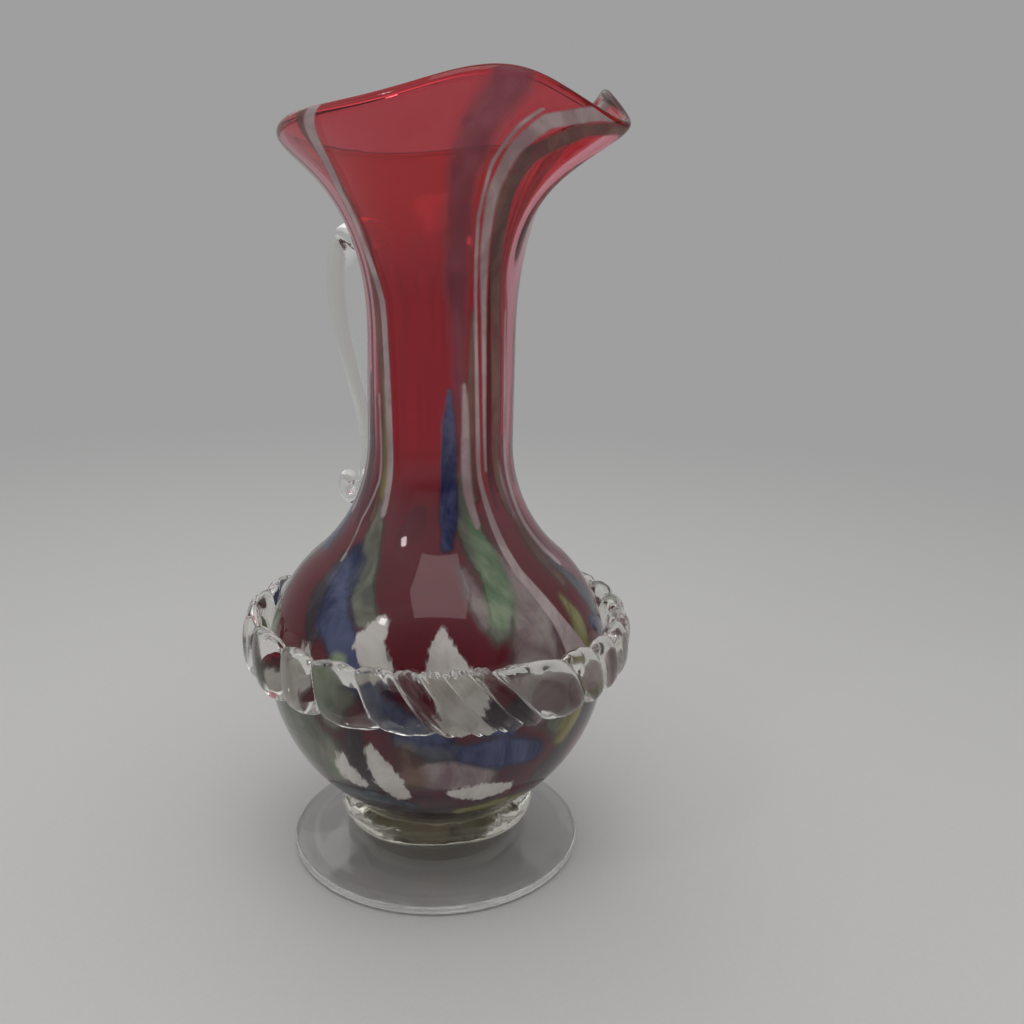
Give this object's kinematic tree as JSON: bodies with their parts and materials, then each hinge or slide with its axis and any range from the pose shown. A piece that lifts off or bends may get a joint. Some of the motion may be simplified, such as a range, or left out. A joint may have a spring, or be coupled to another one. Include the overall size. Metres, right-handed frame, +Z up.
{
  "type": "blown glass vase",
  "caption": "Blown glass vase with a round belly, long neck, flared pouring lip, clear disc foot, twisted glass rope and curled back handle.",
  "frame": {"origin": "centre of the foot's resting face, on the surface that the vase stands on", "axes": "+Z up along the axis of the neck, +X towards the pouring lip, -X towards the handle"},
  "size_m": [0.1346, 0.1346, 0.2562],
  "materials": {
    "ruby_glass": "transparent ruby glass, fire polished, with drawn streaks of colour in the flare",
    "foot_glass": "clear, fire polished",
    "collar_glass": "clear with a faint straw tint, fire polished",
    "rope_glass": "clear, twisted while hot, fire polished",
    "handle_glass": "clear, drawn and curled while hot, fire polished",
    "white_glass": "opal white glass, melted flush and feathered at its edges",
    "blue_glass": "cobalt blue glass, melted flush",
    "green_glass": "green glass, melted flush",
    "yellow_glass": "yellow-green glass, melted flush",
    "mauve_glass": "mauve glass, melted flush and drawn up the neck",
    "brown_glass": "grey-brown glass drawn up the neck in streaks"
  },
  "bodies": {
    "root": {"ruby_body": "ruby_glass", "disc_foot": "foot_glass", "collar": "collar_glass", "twisted_rope": "rope_glass", "handle": "handle_glass", "white_chips": "white_glass", "blue_chips": "blue_glass", "green_chips": "green_glass", "yellow_chips": "yellow_glass", "mauve_chips": "mauve_glass", "brown_chips": "brown_glass"}
  },
  "joints": []
}
